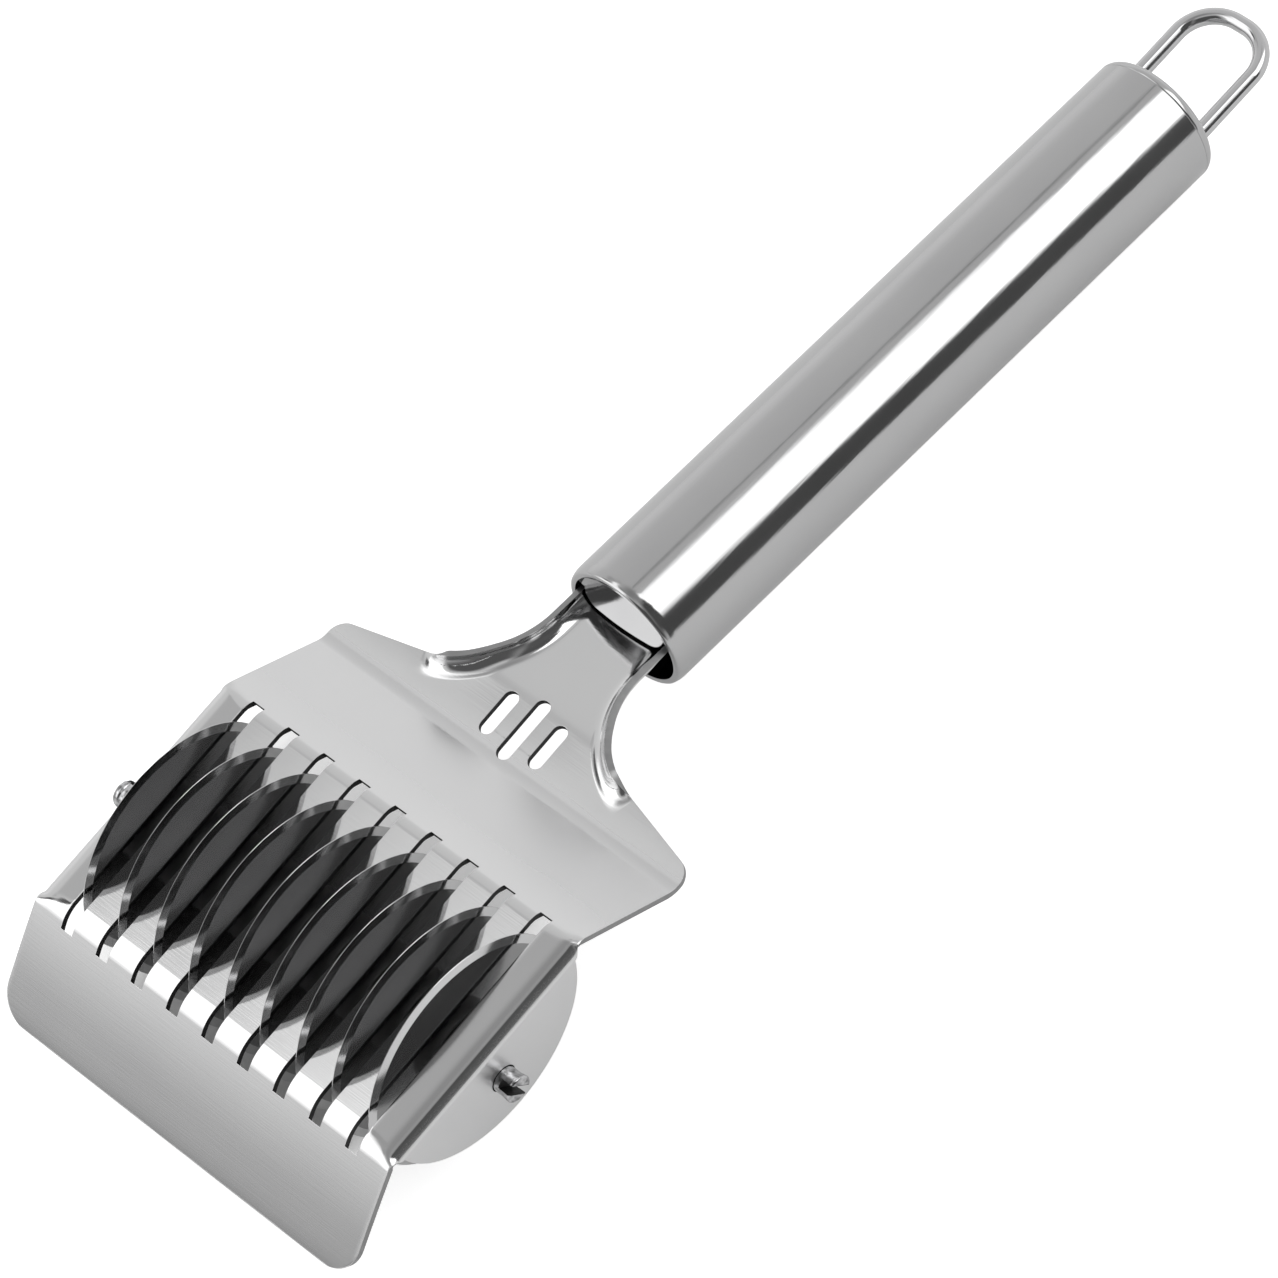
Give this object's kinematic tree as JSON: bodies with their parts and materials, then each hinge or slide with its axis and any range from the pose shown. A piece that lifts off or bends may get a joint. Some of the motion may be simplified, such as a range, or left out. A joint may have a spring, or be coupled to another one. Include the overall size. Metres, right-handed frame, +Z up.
{
  "type": "noodle cutter roller",
  "caption": "Hand roller that cuts rolled dough into strips: round steel blades on one axle under a slotted sheet head with a front guard, on a tube handle with a hanging loop.",
  "frame": {"origin": "on the worktop under the middle of the whole cutter, which lies on its blades' rims and on the handle's far end", "axes": "+X along the axle to the right, +Y from the guard towards the hanging loop, +Z up from the worktop"},
  "size_m": [0.0924, 0.2694, 0.0435],
  "materials": {
    "polished_sheet": "polished",
    "blade_steel": "polished",
    "black_plastic": "matt",
    "brushed_tube": "brushed along the tube",
    "bright_wire": "bright drawn"
  },
  "bodies": {
    "frame": {"head_plate": "polished_sheet", "axle": "polished_sheet", "handle_tube": "brushed_tube", "handle_end_cap": "brushed_tube", "hanging_loop": "bright_wire"},
    "cutter_1": {"blade_1": "blade_steel", "spacer_left_end": "black_plastic", "spacer_1": "black_plastic"},
    "cutter_2": {"blade_2": "blade_steel", "spacer_2": "black_plastic"},
    "cutter_3": {"blade_3": "blade_steel", "spacer_3": "black_plastic"},
    "cutter_4": {"blade_4": "blade_steel", "spacer_4": "black_plastic"},
    "cutter_5": {"blade_5": "blade_steel", "spacer_5": "black_plastic"},
    "cutter_6": {"blade_6": "blade_steel", "spacer_6": "black_plastic"},
    "cutter_7": {"blade_7": "blade_steel", "spacer_7": "black_plastic"},
    "cutter_8": {"blade_8": "blade_steel", "spacer_8": "black_plastic"},
    "cutter_9": {"blade_9": "blade_steel", "spacer_right_end": "black_plastic"}
  },
  "joints": [
    {"name": "blade_1_roll", "type": "hinge", "parent": "frame", "child": "cutter_1", "pos_m": [-0.0319, -0.09507, 0.02175], "axis": [1, 0, 0], "continuous": true},
    {"name": "blade_2_roll", "type": "hinge", "parent": "frame", "child": "cutter_2", "pos_m": [-0.02365, -0.09507, 0.02175], "axis": [1, 0, 0], "continuous": true},
    {"name": "blade_3_roll", "type": "hinge", "parent": "frame", "child": "cutter_3", "pos_m": [-0.0154, -0.09507, 0.02175], "axis": [1, 0, 0], "continuous": true},
    {"name": "blade_4_roll", "type": "hinge", "parent": "frame", "child": "cutter_4", "pos_m": [-0.00715, -0.09507, 0.02175], "axis": [1, 0, 0], "continuous": true},
    {"name": "blade_5_roll", "type": "hinge", "parent": "frame", "child": "cutter_5", "pos_m": [0.0011, -0.09507, 0.02175], "axis": [1, 0, 0], "continuous": true},
    {"name": "blade_6_roll", "type": "hinge", "parent": "frame", "child": "cutter_6", "pos_m": [0.00935, -0.09507, 0.02175], "axis": [1, 0, 0], "continuous": true},
    {"name": "blade_7_roll", "type": "hinge", "parent": "frame", "child": "cutter_7", "pos_m": [0.0176, -0.09507, 0.02175], "axis": [1, 0, 0], "continuous": true},
    {"name": "blade_8_roll", "type": "hinge", "parent": "frame", "child": "cutter_8", "pos_m": [0.02585, -0.09507, 0.02175], "axis": [1, 0, 0], "continuous": true},
    {"name": "blade_9_roll", "type": "hinge", "parent": "frame", "child": "cutter_9", "pos_m": [0.0341, -0.09507, 0.02175], "axis": [1, 0, 0], "continuous": true}
  ]
}
